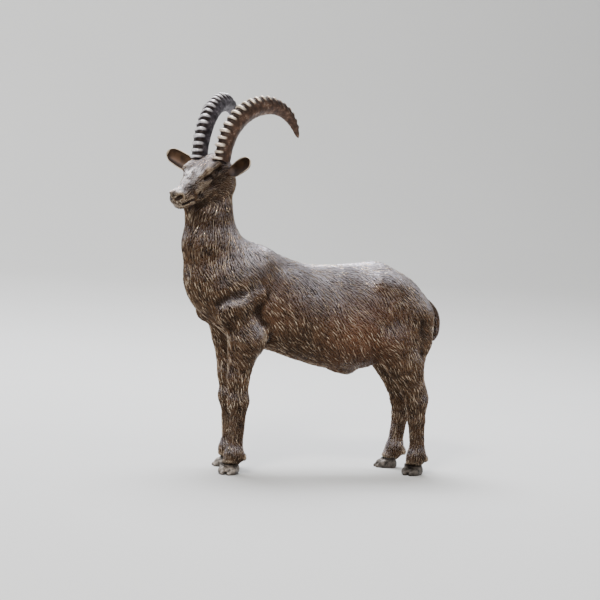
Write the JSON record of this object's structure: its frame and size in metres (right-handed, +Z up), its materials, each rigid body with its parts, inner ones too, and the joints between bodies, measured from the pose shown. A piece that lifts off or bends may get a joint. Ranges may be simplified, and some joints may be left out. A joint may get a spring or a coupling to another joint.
{
  "type": "bronze ibex statue",
  "caption": "Cast bronze statuette of a standing alpine ibex, head turned, with ridged back-swept horns.",
  "frame": {"origin": "on the ground under the middle of the whole figure", "axes": "-X the way the body faces, -Y its left side, +Z up"},
  "size_m": [0.2586, 0.1081, 0.3086],
  "materials": {
    "coat_bronze": "dark brown patinated bronze, engraved hair worn to gold",
    "face_bronze": "brown patinated bronze, worn paler",
    "horn_bronze": "brown bronze with bright worn knobs",
    "hoof_bronze": "dark grey-brown patinated bronze",
    "eye_bronze": "dark polished bronze"
  },
  "bodies": {
    "root": {"torso": "coat_bronze", "neck": "coat_bronze", "head": "face_bronze", "tail": "coat_bronze", "beard": "coat_bronze", "horn_left": "horn_bronze", "ear_left": "face_bronze", "eye_left": "eye_bronze", "horn_right": "horn_bronze", "ear_right": "face_bronze", "eye_right": "eye_bronze", "leg_front_left": "coat_bronze", "hoof_front_left": "hoof_bronze", "leg_front_right": "coat_bronze", "hoof_front_right": "hoof_bronze", "leg_hind_left": "coat_bronze", "hoof_hind_left": "hoof_bronze", "leg_hind_right": "coat_bronze", "hoof_hind_right": "hoof_bronze"}
  },
  "joints": []
}
